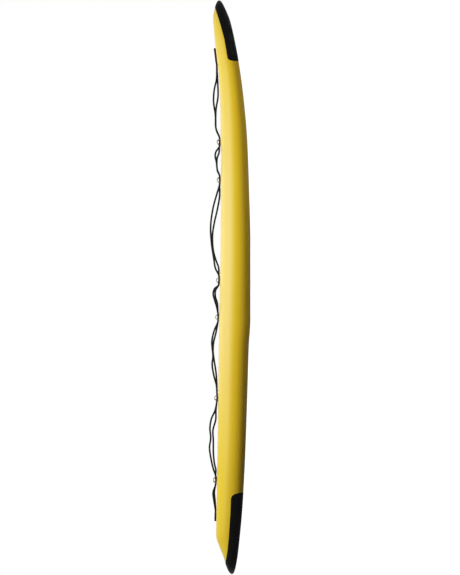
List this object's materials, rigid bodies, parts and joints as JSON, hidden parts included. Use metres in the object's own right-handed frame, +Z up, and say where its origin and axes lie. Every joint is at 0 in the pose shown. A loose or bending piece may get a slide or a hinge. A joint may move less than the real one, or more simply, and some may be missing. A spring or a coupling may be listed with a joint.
{
  "type": "lifeguard rescue board",
  "caption": "Soft-skinned foam rescue board with rubber nose and tail bumpers and a grab rope down each side of the deck, held in hinged wire rings.",
  "frame": {"origin": "on the ground below the middle of the board's length, on its centreline, as the board lies on its hull", "axes": "+X towards the nose, +Y to the board's left side, +Z up through the deck"},
  "size_m": [3.2, 0.58, 0.2291],
  "materials": {
    "skin": "soft closed-cell foam sheet, fine pebble texture",
    "bumper_rubber": "black moulded rubber, satin",
    "core_foam": "white beaded foam",
    "plywood": "bare plywood",
    "cup": "moulded, satin",
    "ring_steel": "polished stainless wire",
    "screw_steel": "satin stainless",
    "rope": "braided polyester",
    "nylon": "black nylon, satin"
  },
  "bodies": {
    "board": {"ring_cup_left_1": "cup", "ring_cup_left_2": "cup", "ring_cup_left_3": "cup", "ring_cup_left_4": "cup", "ring_cup_left_5": "cup", "ring_cup_left_6": "cup", "ring_cup_right_1": "cup", "ring_cup_right_2": "cup", "ring_cup_right_3": "cup", "ring_cup_right_4": "cup", "ring_cup_right_5": "cup", "ring_cup_right_6": "cup", "left_grab_rope": "rope", "right_grab_rope": "rope", "deck_skin": "skin", "rail_skin_left": "skin", "rail_skin_right": "skin", "hull_skin": "skin", "nose_bumper": "bumper_rubber", "tail_bumper": "bumper_rubber", "centre_stringer": "plywood", "foam_core_left": "core_foam", "foam_core_right": "core_foam", "nose_rope_clamp": "nylon", "nose_clamp_screw_left": "screw_steel", "nose_clamp_insert_left": "nylon", "nose_clamp_screw_right": "screw_steel", "nose_clamp_insert_right": "nylon", "tail_rope_clamp": "nylon", "tail_clamp_screw_left": "screw_steel", "tail_clamp_insert_left": "nylon", "tail_clamp_screw_right": "screw_steel", "tail_clamp_insert_right": "nylon"},
    "ring_left_1": {"rope_ring_left_1": "ring_steel"},
    "ring_left_2": {"rope_ring_left_2": "ring_steel"},
    "ring_left_3": {"rope_ring_left_3": "ring_steel"},
    "ring_left_4": {"rope_ring_left_4": "ring_steel"},
    "ring_left_5": {"rope_ring_left_5": "ring_steel"},
    "ring_left_6": {"rope_ring_left_6": "ring_steel"},
    "ring_right_1": {"rope_ring_right_1": "ring_steel"},
    "ring_right_2": {"rope_ring_right_2": "ring_steel"},
    "ring_right_3": {"rope_ring_right_3": "ring_steel"},
    "ring_right_4": {"rope_ring_right_4": "ring_steel"},
    "ring_right_5": {"rope_ring_right_5": "ring_steel"},
    "ring_right_6": {"rope_ring_right_6": "ring_steel"}
  },
  "joints": [
    {"name": "ring_hinge_left_1", "type": "hinge", "parent": "board", "child": "ring_left_1", "pos_m": [0.8096, 0.16393, 0.16023], "axis": [1, 0, 0], "range_deg": [-25, 25]},
    {"name": "ring_hinge_left_2", "type": "hinge", "parent": "board", "child": "ring_left_2", "pos_m": [0.5984, 0.17018, 0.15962], "axis": [1, 0, 0], "range_deg": [-25, 25]},
    {"name": "ring_hinge_left_3", "type": "hinge", "parent": "board", "child": "ring_left_3", "pos_m": [0.0384, 0.17513, 0.16408], "axis": [1, 0, 0], "range_deg": [-25, 25]},
    {"name": "ring_hinge_left_4", "type": "hinge", "parent": "board", "child": "ring_left_4", "pos_m": [-0.1664, 0.17411, 0.1689], "axis": [1, 0, 0], "range_deg": [-25, 25]},
    {"name": "ring_hinge_left_5", "type": "hinge", "parent": "board", "child": "ring_left_5", "pos_m": [-0.6176, 0.16501, 0.17423], "axis": [1, 0, 0], "range_deg": [-25, 25]},
    {"name": "ring_hinge_left_6", "type": "hinge", "parent": "board", "child": "ring_left_6", "pos_m": [-1.0752, 0.14211, 0.18124], "axis": [1, 0, 0], "range_deg": [-25, 25]},
    {"name": "ring_hinge_right_1", "type": "hinge", "parent": "board", "child": "ring_right_1", "pos_m": [0.8096, -0.16393, 0.16021], "axis": [1, 0, 0], "range_deg": [-25, 25]},
    {"name": "ring_hinge_right_2", "type": "hinge", "parent": "board", "child": "ring_right_2", "pos_m": [0.5984, -0.17018, 0.15959], "axis": [1, 0, 0], "range_deg": [-25, 25]},
    {"name": "ring_hinge_right_3", "type": "hinge", "parent": "board", "child": "ring_right_3", "pos_m": [0.0384, -0.17513, 0.16408], "axis": [1, 0, 0], "range_deg": [-25, 25]},
    {"name": "ring_hinge_right_4", "type": "hinge", "parent": "board", "child": "ring_right_4", "pos_m": [-0.1664, -0.17411, 0.1689], "axis": [1, 0, 0], "range_deg": [-25, 25]},
    {"name": "ring_hinge_right_5", "type": "hinge", "parent": "board", "child": "ring_right_5", "pos_m": [-0.6176, -0.16501, 0.17426], "axis": [1, 0, 0], "range_deg": [-25, 25]},
    {"name": "ring_hinge_right_6", "type": "hinge", "parent": "board", "child": "ring_right_6", "pos_m": [-1.0752, -0.14211, 0.18125], "axis": [1, 0, 0], "range_deg": [-25, 25]}
  ]
}
